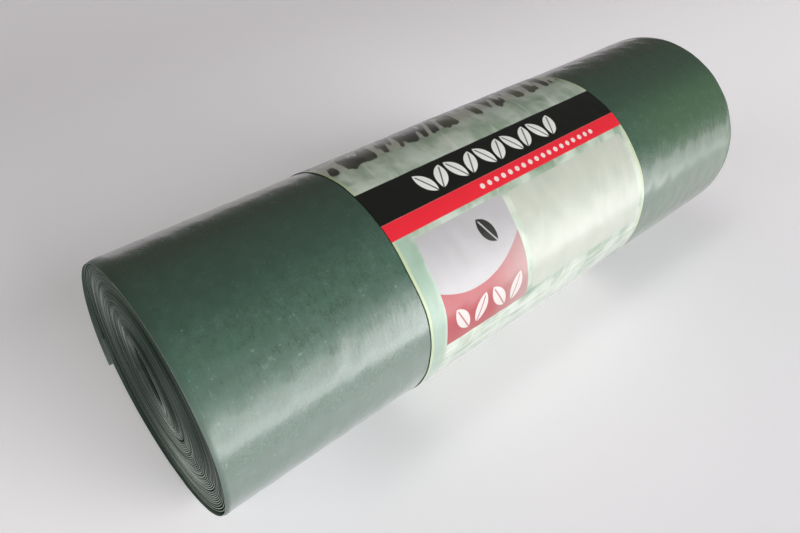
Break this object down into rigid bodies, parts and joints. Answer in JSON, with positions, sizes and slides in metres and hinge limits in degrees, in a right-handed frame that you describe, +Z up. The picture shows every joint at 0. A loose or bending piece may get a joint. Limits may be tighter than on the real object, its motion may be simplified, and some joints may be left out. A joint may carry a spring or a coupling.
{
  "type": "bin bag roll",
  "caption": "Coreless roll of large green bin bags, wound from a folded film web with its turns showing at the ends, lying on a small flat spot and closed by a printed film band.",
  "frame": {"origin": "middle of the bounding box, at the height of the flat spot that the roll lies on", "axes": "+X along the roll towards the end that is farther away in the picture, +Z up, and -Y towards the picture's camera side"},
  "size_m": [0.229, 0.0744, 0.0738],
  "materials": {
    "film": "semi-gloss green polyethylene film",
    "band": "glossy printed film, pale green with a black and a red stripe"
  },
  "bodies": {
    "root": {"bag_roll": "film", "label_band": "band"}
  },
  "joints": []
}
